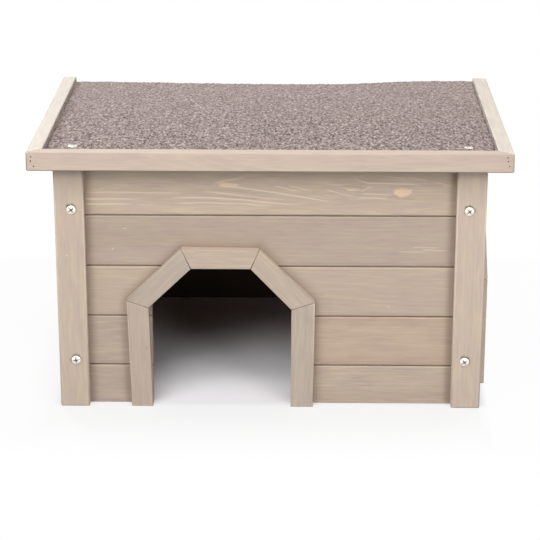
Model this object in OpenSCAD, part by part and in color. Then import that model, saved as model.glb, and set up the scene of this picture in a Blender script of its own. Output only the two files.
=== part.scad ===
// Outdoor small animal house: boarded walls on posts and cleats, a framed doorway in the front and
// one in the right side, no floor, and a felted roof that falls to the back. Millimetres, +Z up.
// The origin is on the ground under the middle of the roof, and the front faces -Y.

/* [House] */
// Width across the outside of the side walls
body_w = 450; // [380:1:600]
// Depth between the outer faces of the front and back posts
body_d = 344; // [310:1:480]
// Height of the front wall, up to the underside of the roof
front_h = 271.3; // [250:0.1:285]

/* [Boards] */
// Number of board rows in a wall
board_rows = 5; // [4:1:5]
// Height of wall that a full board covers
board_cover = 56.6; // [46:0.2:62]
// Thickness of a board
board_t = 11; // [9:0.5:16]
// Gap between the lowest boards and the ground
board_lift = 0.6; // [0:0.1:8]
// Chamfer along the outer edges of a board
board_ease = 1.2; // [0.4:0.1:2]
// Open joint between two boards
board_seam = 0.4; // [0.2:0.1:1]
// Thickness of the tongue on a board's top edge
tongue_t = 4; // [3:0.1:5]
// Height of the tongue
tongue_h = 5; // [3:0.1:7]
// Clearance of a tongue in its groove
tongue_gap = 0.3; // [0.1:0.1:0.6]

/* [Posts and cleats] */
// Width of a corner post
post_w = 31; // [24:0.5:45]
// Thickness of a corner post
post_t = 11; // [8:0.5:20]
// Radius along the edges of a post
post_round = 1.6; // [0.5:0.1:3]
// Width of the upright cleats at the ends of the side walls
cleat_w = 26; // [22:0.5:45]
// Thickness of the cleats
cleat_t = 13.5; // [12:0.5:25]

/* [Doorways] */
// Number of board rows that a doorway cuts through
door_rows = 3; // [2:1:3]
// Clear width of a doorway
door_w = 151; // [110:1:180]
// Leg of the slanted upper corners of a doorway
door_shoulder = 44.5; // [25:0.5:52]
// Place of the front doorway, from the middle of the front wall
front_door_x = -52; // [-80:1:80]
// Place of the side doorway, from the middle of the side wall
side_door_y = -6; // [-15:1:15]
// Width of the strips that frame a doorway
frame_w = 23; // [16:0.5:30]
// Thickness of the frame strips
frame_t = 10; // [7:0.5:16]
// Chamfer along the face of the frame strips
frame_ease = 0.7; // [0.3:0.1:2]

/* [Roof] */
// Fall of the roof towards the back, in degrees
roof_pitch = 3.6; // [0:0.1:6]
// Reach of the roof in front of the front posts
front_overhang = 20; // [5:0.5:60]
// Reach of the roof behind the back posts
back_overhang = 4; // [1:0.5:60]
// Reach of the roof past each side wall
side_overhang = 25; // [18:0.5:60]
// Thickness of the roof deck
deck_t = 11; // [9:0.5:20]
// Thickness of the roofing felt
felt_t = 2.4; // [1.5:0.1:4]
// Thickness of the edging strips
edging_t = 15.5; // [10:0.5:18]
// Height that the edging stands above the felt
edging_lip = 6.6; // [2:0.1:12]
// Radius along the edges of the edging
edging_round = 1.4; // [0.5:0.1:3]

/* [Fasteners] */
// Diameter of a screw
screw_d = 4.5; // [3.5:0.1:6]
// Diameter of a screw head
screw_head_d = 9.6; // [8:0.1:12]
// Height of a screw head
screw_head_h = 2.6; // [1.5:0.1:4]
// Length of a wall screw under its head
wall_screw_l = 40; // [35:1:44]
// Length of a roof screw under its head
roof_screw_l = 40; // [30:1:50]
// Height of the lower wall screws above the lowest boards
screw_rise = 9.1; // [7:0.1:40]
// Distance of the upper wall screws below the top of the wall
screw_drop = 47.5; // [40:0.5:80]
// Diameter of a brad
brad_d = 1.3; // [1:0.1:1.8]
// Depth that a brad bites into the second piece
brad_bite = 7; // [5:0.5:7]
// Depth that the brad heads of the edging are set below the surface
brad_sink = 0.6; // [0.2:0.1:1]
// Reach of the edging brads into the deck or the next strip
edging_brad_bite = 16; // [10:1:25]
// Distance of the cleat brads from the inner edge of a cleat
cleat_brad_edge = 6; // [4:0.5:8]
// Radial clearance of a screw or brad in its hole
hole_gap = 0.05; // [0.02:0.01:0.1]

/* [Hidden] */
$fn = 48;
eps = 0.01;
// Run of a cut past the face that it opens
cut_run = 1;

// The lowest board is ripped to fit, and the head of a doorway lies on a joint between two rows
base_board_h = front_h - board_lift - (board_rows - 1) * board_cover;
door_h = board_lift + base_board_h + (door_rows - 1) * board_cover;
full_rows = board_rows - door_rows;
wall_t = post_t + board_t;
side_l = body_d - 2 * wall_t;
edging_h = deck_t + felt_t + edging_lip;
roof_w = body_w + 2 * side_overhang;
roof_l = (front_overhang + body_d + back_overhang) / cos(roof_pitch);
roof_y = -(roof_l * cos(roof_pitch) + edging_h * sin(roof_pitch)) / 2;
roof_z = front_h + front_overhang * tan(roof_pitch);
front_y = roof_y + front_overhang;
back_y = front_y + body_d;
back_h = front_h - body_d * tan(roof_pitch);

// Screws run down the middle of the cleats
screw_x = body_w / 2 - board_t - cleat_t / 2;
screw_low = board_lift + base_board_h + screw_rise;
roof_screw_y = [for (y = [front_y + wall_t + cleat_w / 2, back_y - wall_t - cleat_w / 2])
    (y - roof_y) / cos(roof_pitch)];

// Brads keep clear of the screws: near the outer edge of a post, and near the inner edge of a cleat
post_brad_x = post_w / 4;
cleat_brad_x = cleat_w - cleat_brad_edge;
// Brads stand at these shares of a board's height, a frame strip's length, a jamb's height and the
// roof's length
board_brad_share = [0.3, 0.75];
frame_brad_share = [0.3, 0.62];
jamb_brad_share = 0.62;
deck_brad_share = [0.15, 0.5, 0.85];
// Brads at the two ends of the front edging: distance from its end and from its top
left_end_brads = [[5.5, 5], [5, 9.5], [8, 15]];
right_end_brads = [[7, 4], [6.5, 8], [5, 13]];

// Cross recess of a screw head: reach, width and depth
recess = [5, 1.1, 1.5];

post_colour = "#c3ae98";
board_colour = "#b8a28c";
frame_colour = "#bea993";
edging_colour = "#cdb9a2";
deck_colour = "#c9ad86";
felt_colour = "#9f908c";
steel_colour = "#d8d8d6";

sides = ["left", "right"];
ends = ["front", "back"];
front_frame_names = ["jamb_left", "shoulder_left", "lintel", "shoulder_right", "jamb_right"];
side_frame_names = ["jamb_front", "shoulder_front", "lintel", "shoulder_back", "jamb_back"];
frame_strips = [0 : len(front_frame_names) - 1];
rows = [1 : board_rows];
upper_rows = [1 : full_rows];
door_cut_rows = [full_rows + 1 : board_rows];

// Lower and upper edge of a board row, counted from the top
function row_top(r) = front_h - (r - 1) * board_cover;
function row_bottom(r) = r == board_rows ? board_lift : row_top(r) - board_cover;

// Inner and outer line of a doorway's frame, in its wall's own x and z
function door_line(x) = [
    [x - door_w / 2, 0],
    [x - door_w / 2, door_h - door_shoulder],
    [x - door_w / 2 + door_shoulder, door_h],
    [x + door_w / 2 - door_shoulder, door_h],
    [x + door_w / 2, door_h - door_shoulder],
    [x + door_w / 2, 0]
];
mitre = frame_w * tan(22.5);
function frame_line(x) = [
    [x - door_w / 2 - frame_w, 0],
    [x - door_w / 2 - frame_w, door_h - door_shoulder + mitre],
    [x - door_w / 2 + door_shoulder - mitre, door_h + frame_w],
    [x + door_w / 2 - door_shoulder + mitre, door_h + frame_w],
    [x + door_w / 2 + frame_w, door_h - door_shoulder + mitre],
    [x + door_w / 2 + frame_w, 0]
];
function frame_strip(x, i) = let (a = door_line(x), b = frame_line(x)) [a[i], a[i + 1], b[i + 1], b[i]];
function between(p, q, share) = p + (q - p) * share;

// A jamb is nailed to the middle of the lowest board and once higher up, the other strips twice
jamb_brad_z = [board_lift + base_board_h / 2, (door_h - door_shoulder + mitre / 2) * jamb_brad_share];
function is_jamb(i) = i == 0 || i == len(front_frame_names) - 1;
function frame_brads(x, i) = let (s = frame_strip(x, i), p = (s[0] + s[3]) / 2, q = (s[1] + s[2]) / 2)
    is_jamb(i) ? [for (z = jamb_brad_z) [p[0], z]] : [for (share = frame_brad_share) between(p, q, share)];

// Middle of each doorway along its own wall
front_door_mid = body_w / 2 + front_door_x;
side_door_mid = side_l / 2 + side_door_y;

// Each wall's own frame: x along the wall seen from outside, y into the house from the boards' face
module on_front() { translate([-body_w / 2, front_y + post_t, 0]) children(); }
module on_back() { translate([body_w / 2, back_y - post_t, 0]) rotate(180) children(); }
module on_right() { translate([body_w / 2, front_y + wall_t, 0]) rotate(90) children(); }
module on_left() { translate([-body_w / 2, back_y - wall_t, 0]) rotate(-90) children(); }

// The roof's own frame: x across, y down the slope from the front, z up from the underside
module on_roof() { translate([0, roof_y, roof_z]) rotate([-roof_pitch, 0, 0]) children(); }
module above_walls() {
    on_roof() translate([-roof_w, -roof_l, 0]) cube([2 * roof_w, 3 * roof_l, front_h]);
}

// Bar along z with rounded long edges
module rounded_bar(w, t, l, r) {
    linear_extrude(l) {
        translate([r, 0]) square([w - 2 * r, t]);
        translate([0, r]) square([w, t - 2 * r]);
        for (x = [r, w - r], y = [r, t - r]) translate([x, y]) circle(r);
    }
}

// Tongued and grooved section of a board, outer face at 0
module board_section(r) {
    b = row_bottom(r);
    t = row_top(r) - (r > 1 ? board_seam : 0);
    mid = board_t / 2;
    groove = tongue_t / 2 + tongue_gap;
    top_edge = r > 1
        ? [[0, t - board_ease], [board_ease, t], [mid - tongue_t / 2, t],
           [mid - tongue_t / 2, t + tongue_h], [mid + tongue_t / 2, t + tongue_h],
           [mid + tongue_t / 2, t], [board_t, t]]
        : [[0, t], [board_t, t]];
    bottom_edge = r < board_rows
        ? [[board_t, b], [mid + groove, b], [mid + groove, b + tongue_h],
           [mid - groove, b + tongue_h], [mid - groove, b]]
        : [[board_t, b]];
    polygon(concat([[board_ease, b], [0, b + board_ease]], top_edge, bottom_edge));
}

module board(r, from, to) {
    translate([from, 0, 0]) rotate([90, 0, 90]) linear_extrude(to - from) board_section(r);
}

// The doorway's shape through the boards, with the tongue over its head
module door_cut(x) {
    line = door_line(x);
    head = tongue_h + board_seam;
    translate([0, 2 * board_t, 0]) rotate([90, 0, 0]) linear_extrude(3 * board_t) {
        polygon(concat([[line[0][0], -eps]], [for (i = [1 : 4]) line[i]], [[line[5][0], -eps]]));
        translate(line[2] - [0, eps]) square([line[3][0] - line[2][0], head]);
    }
}

// Screws and brads point along +z, from the surface that their heads sit on
module screw(l) {
    r = screw_head_d / 2;
    ball = (r * r + screw_head_h * screw_head_h) / (2 * screw_head_h);
    tip = screw_d;
    difference() {
        intersection() {
            translate([0, 0, ball - screw_head_h]) sphere(ball);
            translate([0, 0, -screw_head_h]) cylinder(r = screw_head_d, h = screw_head_h);
        }
        for (a = [0, 90]) rotate(a)
            translate([-recess[0] / 2, -recess[1] / 2, -screw_head_h - eps])
                cube([recess[0], recess[1], recess[2] + eps]);
    }
    cylinder(d = screw_d, h = l - tip);
    translate([0, 0, l - tip]) cylinder(d1 = screw_d, d2 = screw_d / 6, h = tip);
}

module screw_hole(l) {
    translate([0, 0, -cut_run]) cylinder(d = screw_d + 2 * hole_gap, h = l + 2 * cut_run);
}

module brad(l) { cylinder(d = brad_d, h = l); }

module brad_hole(l) {
    translate([0, 0, -cut_run]) cylinder(d = brad_d + 2 * hole_gap, h = l + 2 * cut_run);
}

module at_front_screws() {
    for (x = [-screw_x, screw_x], z = [screw_low, front_h - screw_drop])
        translate([x, front_y, z]) rotate([-90, 0, 0]) children();
}

module at_back_screws() {
    for (x = [-screw_x, screw_x], z = [screw_low, back_h - screw_drop])
        translate([x, back_y, z]) rotate([90, 0, 0]) children();
}

module at_roof_screws() {
    on_roof() for (x = [-screw_x, screw_x], y = roof_screw_y)
        translate([x, y, deck_t + felt_t]) rotate([180, 0, 0]) children();
}

// Brads of a wall of length l: x is their distance from its ends, y the face that they are driven from
module at_wall_brads(l, x, y) {
    for (r = rows, s = board_brad_share, e = [x, l - x])
        translate([e, y, min(between(row_bottom(r), row_top(r), s), back_h - brad_d * 4)])
            rotate([y > 0 ? 90 : -90, 0, 0]) children();
}

module at_post_brads() {
    on_front() at_wall_brads(body_w, post_brad_x, board_t) children();
    on_back() at_wall_brads(body_w, post_brad_x, board_t) children();
}

module at_cleat_brads() {
    on_right() at_wall_brads(side_l, cleat_brad_x, board_t + cleat_t) children();
    on_left() at_wall_brads(side_l, cleat_brad_x, board_t + cleat_t) children();
}

module at_frame_brads(x) {
    for (i = frame_strips, p = frame_brads(x, i))
        translate([p[0], board_t, p[1]]) rotate([90, 0, 0]) children();
}

module at_doorway_brads() {
    on_front() at_frame_brads(front_door_mid) children();
    on_right() at_frame_brads(side_door_mid) children();
}

// Brads of the edging: three at each end of the front strip, three along each side strip
module at_end_brads() {
    on_roof() {
        for (p = left_end_brads)
            translate([p[0] - roof_w / 2, brad_sink, edging_h - p[1]]) rotate([-90, 0, 0]) children();
        for (p = right_end_brads)
            translate([roof_w / 2 - p[0], brad_sink, edging_h - p[1]]) rotate([-90, 0, 0]) children();
    }
}

module at_deck_brads() {
    on_roof() for (side = [-1, 1], share = deck_brad_share)
        translate([side * (roof_w / 2 - brad_sink), roof_l * share, deck_t / 2])
            rotate([0, -90 * side, 0]) children();
}

post_brad_l = board_t + brad_bite;
cleat_brad_l = cleat_t + brad_bite;
edging_brad_l = edging_t - brad_sink + edging_brad_bite;

module post_bar() { rounded_bar(post_w, post_t, front_h, post_round); }

module post(end, side) {
    color(post_colour) difference() {
        if (end == "front")
            translate([side == "left" ? -body_w / 2 : body_w / 2 - post_w, front_y, 0]) post_bar();
        else
            translate([side == "left" ? -body_w / 2 : body_w / 2 - post_w, back_y - post_t, 0]) post_bar();
        above_walls();
        at_front_screws() screw_hole(wall_screw_l);
        at_back_screws() screw_hole(wall_screw_l);
        at_post_brads() brad_hole(post_brad_l);
    }
}

module cleat_bar() { translate([0, board_t, 0]) cube([cleat_w, cleat_t, front_h]); }

module cleat(side, end) {
    color(board_colour) difference() {
        if (side == "right")
            on_right() translate([end == "front" ? 0 : side_l - cleat_w, 0, 0]) cleat_bar();
        else
            on_left() translate([end == "back" ? 0 : side_l - cleat_w, 0, 0]) cleat_bar();
        above_walls();
        at_front_screws() screw_hole(wall_screw_l);
        at_back_screws() screw_hole(wall_screw_l);
        at_roof_screws() screw_hole(roof_screw_l);
        at_cleat_brads() brad_hole(cleat_brad_l);
    }
}

// A stretch of a front board from one end of the wall to the other, or to the middle of the doorway
module front_board(r, from, to) {
    color(board_colour) difference() {
        on_front() board(r, from, to);
        on_front() door_cut(front_door_mid);
        above_walls();
        at_front_screws() screw_hole(wall_screw_l);
        at_post_brads() brad_hole(post_brad_l);
        at_doorway_brads() brad_hole(post_brad_l);
    }
}

module back_board(r) {
    color(board_colour) difference() {
        on_back() board(r, 0, body_w);
        above_walls();
        at_back_screws() screw_hole(wall_screw_l);
        at_post_brads() brad_hole(post_brad_l);
    }
}

module right_board(r, from, to) {
    color(board_colour) difference() {
        on_right() board(r, from, to);
        on_right() door_cut(side_door_mid);
        above_walls();
        at_cleat_brads() brad_hole(cleat_brad_l);
        at_doorway_brads() brad_hole(post_brad_l);
    }
}

module left_board(r) {
    color(board_colour) difference() {
        on_left() board(r, 0, side_l);
        above_walls();
        at_cleat_brads() brad_hole(cleat_brad_l);
    }
}

// One strip of a doorway's frame, mitred at both ends, in its wall's frame
module frame_strip_bar(x, i) {
    strip = frame_strip(x, i);
    rotate([90, 0, 0]) hull() {
        linear_extrude(frame_t - frame_ease) polygon(strip);
        linear_extrude(frame_t) offset(delta = -frame_ease) polygon(strip);
    }
}

module front_frame(i) {
    color(frame_colour) difference() {
        on_front() frame_strip_bar(front_door_mid, i);
        at_doorway_brads() brad_hole(post_brad_l);
    }
}

module side_frame(i) {
    color(frame_colour) difference() {
        on_right() frame_strip_bar(side_door_mid, i);
        at_doorway_brads() brad_hole(post_brad_l);
    }
}

module roof_deck() {
    color(deck_colour) difference() {
        on_roof() translate([-roof_w / 2 + edging_t, edging_t, 0])
            cube([roof_w - 2 * edging_t, roof_l - edging_t, deck_t]);
        at_roof_screws() screw_hole(roof_screw_l);
        at_deck_brads() brad_hole(edging_brad_l);
    }
}

module roof_felt() {
    color(felt_colour) difference() {
        on_roof() translate([-roof_w / 2 + edging_t, edging_t, deck_t])
            cube([roof_w - 2 * edging_t, roof_l - edging_t, felt_t]);
        at_roof_screws() screw_hole(roof_screw_l);
    }
}

// Plans of the mitred strips, run past the faces that they don't cut
edging_out = roof_w / 2 + cut_run;
edging_in = roof_w / 2 - edging_t - cut_run;
module front_edging_plan() {
    polygon([[-edging_out, -cut_run], [edging_out, -cut_run],
             [edging_in, edging_t + cut_run], [-edging_in, edging_t + cut_run]]);
}

module left_edging_plan() {
    polygon([[-edging_out, -cut_run], [-edging_in, edging_t + cut_run],
             [-edging_in, roof_l + cut_run], [-edging_out, roof_l + cut_run]]);
}

module front_edging() {
    color(edging_colour) difference() {
        on_roof() intersection() {
            translate([-roof_w / 2, 0, 0]) rotate([90, 0, 90])
                rounded_bar(edging_t, edging_h, roof_w, edging_round);
            translate([0, 0, -cut_run]) linear_extrude(edging_h + 2 * cut_run) front_edging_plan();
        }
        at_end_brads() brad_hole(edging_brad_l);
    }
}

module side_edging(side) {
    color(edging_colour) difference() {
        on_roof() mirror([side == "right" ? 1 : 0, 0, 0]) intersection() {
            translate([-roof_w / 2, roof_l, 0]) rotate([90, 0, 0])
                rounded_bar(edging_t, edging_h, roof_l, edging_round);
            translate([0, 0, -cut_run]) linear_extrude(edging_h + 2 * cut_run) left_edging_plan();
        }
        at_end_brads() brad_hole(edging_brad_l);
        at_deck_brads() brad_hole(edging_brad_l);
    }
}

module front_wall_screws() { color(steel_colour) at_front_screws() screw(wall_screw_l); }
module back_wall_screws() { color(steel_colour) at_back_screws() screw(wall_screw_l); }
module roof_screws() { color(steel_colour) at_roof_screws() screw(roof_screw_l); }

module wall_brads() {
    color(steel_colour) {
        at_post_brads() brad(post_brad_l);
        at_cleat_brads() brad(cleat_brad_l);
    }
}

module doorway_brads() { color(steel_colour) at_doorway_brads() brad(post_brad_l); }

module edging_brads() {
    color(steel_colour) {
        at_end_brads() brad(edging_brad_l);
        at_deck_brads() brad(edging_brad_l);
    }
}

for (e = ends, s = sides) post(e, s);
for (s = sides, e = ends) cleat(s, e);
for (r = upper_rows) front_board(r, 0, body_w);
for (r = door_cut_rows) {
    front_board(r, 0, front_door_mid);
    front_board(r, front_door_mid, body_w);
    right_board(r, 0, side_door_mid);
    right_board(r, side_door_mid, side_l);
}
for (r = rows) back_board(r);
for (r = rows) left_board(r);
for (r = upper_rows) right_board(r, 0, side_l);
for (i = frame_strips) front_frame(i);
for (i = frame_strips) side_frame(i);
roof_deck();
roof_felt();
front_edging();
side_edging("left");  // left_edging
side_edging("right");  // right_edging
front_wall_screws();
back_wall_screws();
roof_screws();
wall_brads();
doorway_brads();
edging_brads();
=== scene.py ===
import inspect
import random
from functools import partial
from math import cos, pi, radians, sin, sqrt, tan

import bmesh
import bpy
from mathutils import Matrix, Vector, noise


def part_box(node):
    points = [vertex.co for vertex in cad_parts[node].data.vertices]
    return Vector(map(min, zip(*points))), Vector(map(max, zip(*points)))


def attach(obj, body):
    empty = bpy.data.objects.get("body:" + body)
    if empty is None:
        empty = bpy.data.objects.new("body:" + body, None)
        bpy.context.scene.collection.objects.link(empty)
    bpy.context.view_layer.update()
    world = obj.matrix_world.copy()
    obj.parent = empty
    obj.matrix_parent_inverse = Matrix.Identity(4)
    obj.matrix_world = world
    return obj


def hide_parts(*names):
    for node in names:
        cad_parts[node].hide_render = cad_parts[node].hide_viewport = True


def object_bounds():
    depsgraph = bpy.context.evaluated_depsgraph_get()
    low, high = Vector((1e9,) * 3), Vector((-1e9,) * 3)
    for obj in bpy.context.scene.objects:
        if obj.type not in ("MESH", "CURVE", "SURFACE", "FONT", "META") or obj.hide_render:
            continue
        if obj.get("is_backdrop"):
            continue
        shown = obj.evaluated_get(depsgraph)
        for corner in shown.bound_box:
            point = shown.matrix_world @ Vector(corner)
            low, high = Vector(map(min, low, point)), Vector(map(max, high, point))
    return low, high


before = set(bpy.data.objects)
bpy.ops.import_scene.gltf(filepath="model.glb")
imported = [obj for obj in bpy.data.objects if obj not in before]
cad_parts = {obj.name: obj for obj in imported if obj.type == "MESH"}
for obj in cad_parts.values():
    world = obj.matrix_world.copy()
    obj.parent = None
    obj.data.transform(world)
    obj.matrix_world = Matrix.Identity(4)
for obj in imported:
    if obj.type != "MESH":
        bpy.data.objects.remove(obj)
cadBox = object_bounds()
scene = bpy.context.scene
mm = 0.001
hair = 1e-6  # places closer than this are the same place

# the house as the frame holds it: posts, walls and the fall of the roof
postLow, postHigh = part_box("front_post_left")
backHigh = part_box("back_post_right")[1]
house = dict(front=postLow.y, back=backHigh.y, half=backHigh.x, post=postHigh.y - postLow.y,
             wallTop=0.2713, board=0.011, spare=0.01)
roof = dict(pitch=radians(3.6), reach=0.020, tail=0.004, side=0.025, deck=0.011, felt=0.0024,
            edging=0.0155, edgingHigh=0.020)
backTop = house["wallTop"] - (house["back"] - house["front"]) * tan(roof["pitch"])
roofHalf = house["half"] + roof["side"]
roofLong = (roof["reach"] + house["back"] - house["front"] + roof["tail"]) / cos(roof["pitch"])
roofFrame = (Matrix.Translation((0, house["front"] - roof["reach"],
                                 house["wallTop"] + roof["reach"] * tan(roof["pitch"])))
             @ Matrix.Rotation(-roof["pitch"], 4, "X"))
roofUp = roofFrame.to_3x3() @ Vector((0, 0, 1))

wallIn = house["post"] + house["board"]
walls = dict(
    front=Matrix.Translation((-house["half"], house["front"] + house["post"], 0)),
    back=Matrix.Translation((house["half"], house["back"] - house["post"], 0)) @ Matrix.Rotation(pi, 4, "Z"),
    right=Matrix.Translation((house["half"], house["front"] + wallIn, 0)) @ Matrix.Rotation(pi / 2, 4, "Z"),
    left=Matrix.Translation((-house["half"], house["back"] - wallIn, 0)) @ Matrix.Rotation(-pi / 2, 4, "Z"))
print("frame loaded, nodes:", len(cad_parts))


# shaping helpers

def pieceName(node):
    first, *rest = node.split("_")
    return first + "".join(word.capitalize() for word in rest)


def newObject(bm, name):
    mesh = bpy.data.meshes.new(name)
    bm.to_mesh(mesh)
    bm.free()
    made = bpy.data.objects.new(mesh.name, mesh)
    scene.collection.objects.link(made)
    return made


def putPiece(bm, node, slot):
    clean(bm)
    piece = newObject(bm, pieceName(node))
    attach(piece, "root")
    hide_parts(node)
    return piece


def move(bm, matrix):
    bmesh.ops.transform(bm, matrix=matrix, verts=bm.verts)


def clean(bm):
    bmesh.ops.remove_doubles(bm, verts=bm.verts, dist=hair)
    bmesh.ops.recalc_face_normals(bm, faces=bm.faces)


def bar(low, high):
    bm = bmesh.new()
    size = Vector(high) - Vector(low)
    place = Matrix.Translation((Vector(low) + Vector(high)) / 2) @ Matrix.Diagonal((*size, 1))
    bmesh.ops.create_cube(bm, size=1, matrix=place)
    return bm


def heading(edge):
    return (edge.verts[1].co - edge.verts[0].co).normalized()


def edgesAlong(bm, axis, straight=0.999):
    return [e for e in bm.edges if abs(heading(e)[axis]) > straight]


def roundOver(bm, edges, width, steps):
    made = bmesh.ops.bevel(bm, geom=list(edges), offset=width, offset_type="OFFSET", affect="EDGES",
                           segments=steps, profile=0.5, material=-1)
    for face in made["faces"]:
        face.smooth = True


def sawOff(bm, point, outward):
    bmesh.ops.bisect_plane(bm, geom=[*bm.verts, *bm.edges, *bm.faces], dist=hair / 10,
                           plane_co=point, plane_no=outward, clear_outer=True)
    closeUp(bm)


def closeUp(bm):
    bmesh.ops.holes_fill(bm, edges=[e for e in bm.edges if e.is_boundary], sides=0)


def outlineBlock(points, depth):
    bm = bmesh.new()
    face = bm.faces.new([bm.verts.new(p) for p in points])
    grown = bmesh.ops.extrude_face_region(bm, geom=[face])["geom"]
    bmesh.ops.translate(bm, vec=depth, verts=[v for v in grown if isinstance(v, bmesh.types.BMVert)])
    bmesh.ops.recalc_face_normals(bm, faces=bm.faces)
    return bm


def carve(piece, cutter):
    tool = newObject(cutter, "carvingTool")
    step = piece.modifiers.new("carve", "BOOLEAN")
    step.object = tool
    step.operation = "DIFFERENCE"
    step.solver = "EXACT"
    bpy.context.view_layer.update()
    piece.data = bpy.data.meshes.new_from_object(
        piece.evaluated_get(bpy.context.evaluated_depsgraph_get()))
    piece.modifiers.clear()
    bpy.data.objects.remove(tool)


# material helpers

def shade(red, green, blue):
    # a colour as the eye reads it, 0 to 255, made linear
    return tuple(((c / 255 + 0.055) / 1.055) ** 2.4 for c in (red, green, blue)) + (1,)


def newMaterial(name):
    material = bpy.data.materials.new(name)
    material.use_nodes = True
    material.node_tree.nodes.clear()
    return material, material.node_tree


def put(kind, sockets=(), tree=None, **settings):
    # a node goes into the tree that its links come from
    sockets = dict(sockets)
    linked = {key for key, value in sockets.items() if isinstance(value, bpy.types.NodeSocket)}
    for key in linked:
        tree = sockets[key].id_data
    node = tree.nodes.new("ShaderNode" + kind)
    for name, value in settings.items():
        setattr(node, name, value)
    for key, value in sockets.items():
        if key in linked:
            tree.links.new(value, node.inputs[key])
        else:
            node.inputs[key].default_value = value
    return node


def calc(operation, a, b=0.0, c=0.0):
    return put("Math", {0: a, 1: b, 2: c}, operation=operation).outputs[0]


# scaled takes a value, by how much, and where it starts
plus, minus, times, over, most, scaled = (
    partial(calc, kind) for kind in ("ADD", "SUBTRACT", "MULTIPLY", "DIVIDE", "MAXIMUM", "MULTIPLY_ADD"))


def length(a, b):
    return calc("SQRT", plus(times(a, a), times(b, b)))


def parts(vector):
    return put("SeparateXYZ", {0: vector}).outputs


def blend(share, a, b, mode="MIX"):
    return put("Mix", {0: share, 6: a, 7: b}, data_type="RGBA", blend_type=mode).outputs[2]


def ramp(value, low, high, start=0.0, end=1.0):
    return put("MapRange", {0: value, 1: low, 2: high, 3: start, 4: end},
               interpolation_type="SMOOTHSTEP").outputs[0]


def stretched(vector, scale, detail=2.0, rough=0.5):
    spread = put("VectorMath", {0: vector, 1: scale}, operation="MULTIPLY").outputs[0]
    return put("TexNoise", {"Vector": spread, "Scale": 1.0, "Detail": detail, "Roughness": rough}).outputs[0]


def sway(vector, scale, detail=2.0, rough=0.5):
    # noise about zero
    return minus(stretched(vector, scale, detail, rough), 0.5)


def nodeGroup(wire):
    # the inputs are the parameters of the function that wires the group, the outputs are what it returns
    tree = bpy.data.node_groups.new(wire.__name__, "ShaderNodeTree")
    kinds = {float: "NodeSocketFloat", tuple: "NodeSocketColor"}
    for label, parameter in inspect.signature(wire).parameters.items():
        kind = kinds.get(type(parameter.default), "NodeSocketVector")
        socket = tree.interface.new_socket(label, in_out="INPUT", socket_type=kind)
        if kind in kinds.values():
            socket.default_value = parameter.default
    *given, _ = tree.nodes.new("NodeGroupInput").outputs
    made = wire(*given)
    for label, output in made.items():
        kind = kinds[tuple if output.type == "RGBA" else float]
        tree.interface.new_socket(label, in_out="OUTPUT", socket_type=kind)
    ends = tree.nodes.new("NodeGroupOutput").inputs
    for label, output in made.items():
        tree.links.new(output, ends[label])
    return tree


def useGroup(group, **sockets):
    return put("Group", sockets, node_tree=group).outputs


# In the dictionaries of the effects, three numbers in brackets stretch a noise along, across and out of
# the piece, with its detail and roughness behind them. Pairs and fours are the ends of a ramp.

# growth rings: distance from a pith line that may climb along the piece
rings = dict(drift=(9, 45, 45), swell=(0.55, 0.88), stop=(0.9, 1.0, 1.0, 0.0), gaps=(28, 210, 210),
             broken=(0.36, 0.62, 0.12, 1.0), faintest=0.2)


@nodeGroup
def growthRings(vector, across=0.0, depth=0.0, gap=0.006, rise=0.0, riseFrom=-0.1, riseTo=0.1, wander=0.002,
                lineShow=0.3):
    x, y, z = parts(vector)
    radius = minus(length(minus(y, across), minus(z, depth)), ramp(x, riseFrom, riseTo, 0.0, rise))
    phase = over(plus(radius, times(sway(vector, rings["drift"]), wander)), gap)
    turn = calc("FRACT", phase)
    strength = put("TexWhiteNoise", {"W": calc("FLOOR", phase)}, noise_dimensions="1D").outputs[0]
    line = times(ramp(turn, *rings["swell"]), ramp(turn, *rings["stop"]))
    broken = ramp(stretched(vector, rings["gaps"]), *rings["broken"])
    line = times(times(line, broken), lineShow)
    return dict(lines=times(line, scaled(strength, 1 - rings["faintest"], rings["faintest"])))


# fibre: fine lines, broader streaks that come and go, and slow patches along the grain
fibres = dict(fine=((38, 600, 600), 3.0, 0.6), streak=((26, 300, 300), 2.0, 0.6),
              patch=((24, 95, 95), 3.0, 0.55), swell=((8, 45, 45), 1.0), comes=(0.38, 0.62, 0.35, 1.5),
              seeds=(0, 50))


@nodeGroup
def woodFibre(vector, seed=0.0):
    shift = put("CombineXYZ", {axis: seed for axis in range(3)}).outputs[0]
    place = put("VectorMath", {0: vector, 1: shift}, operation="ADD").outputs[0]
    comes = ramp(stretched(place, *fibres["swell"]), *fibres["comes"])
    return dict(fine=stretched(place, *fibres["fine"]),
                streak=scaled(sway(place, *fibres["streak"]), comes, 0.5),
                patch=stretched(place, *fibres["patch"]))


# a knot: a ragged lens of branch wood, and how far along it a place lies
knot = dict(wobble=(170, 320, 320), ragged=0.8, core=(0.6, 1.1, 1.0, 0.0), lean=(-0.8, 0.7))


@nodeGroup
def branchKnot(vector, along=0.0, across=0.0, long=0.01, high=0.006):
    x, y, _ = parts(vector)
    x = over(minus(x, along), long)
    y = over(minus(y, across), high)
    away = plus(length(x, y), times(sway(vector, knot["wobble"]), knot["ragged"]))
    return dict(core=ramp(away, *knot["core"]), lean=ramp(x, *knot["lean"]))


# one stroke of late wood: level, then falling between two places, with drawn-out ends
stroke = dict(waver=(30, 60, 60), strays=0.0022, ragged=(60, 500, 500), thins=(1.1, 0.45),
              core=(0.1, 1.0, 1.0, 0.0), begins=(0.0, 0.18), ends=(0.7, 1.0, 1.0, 0.0))


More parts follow.
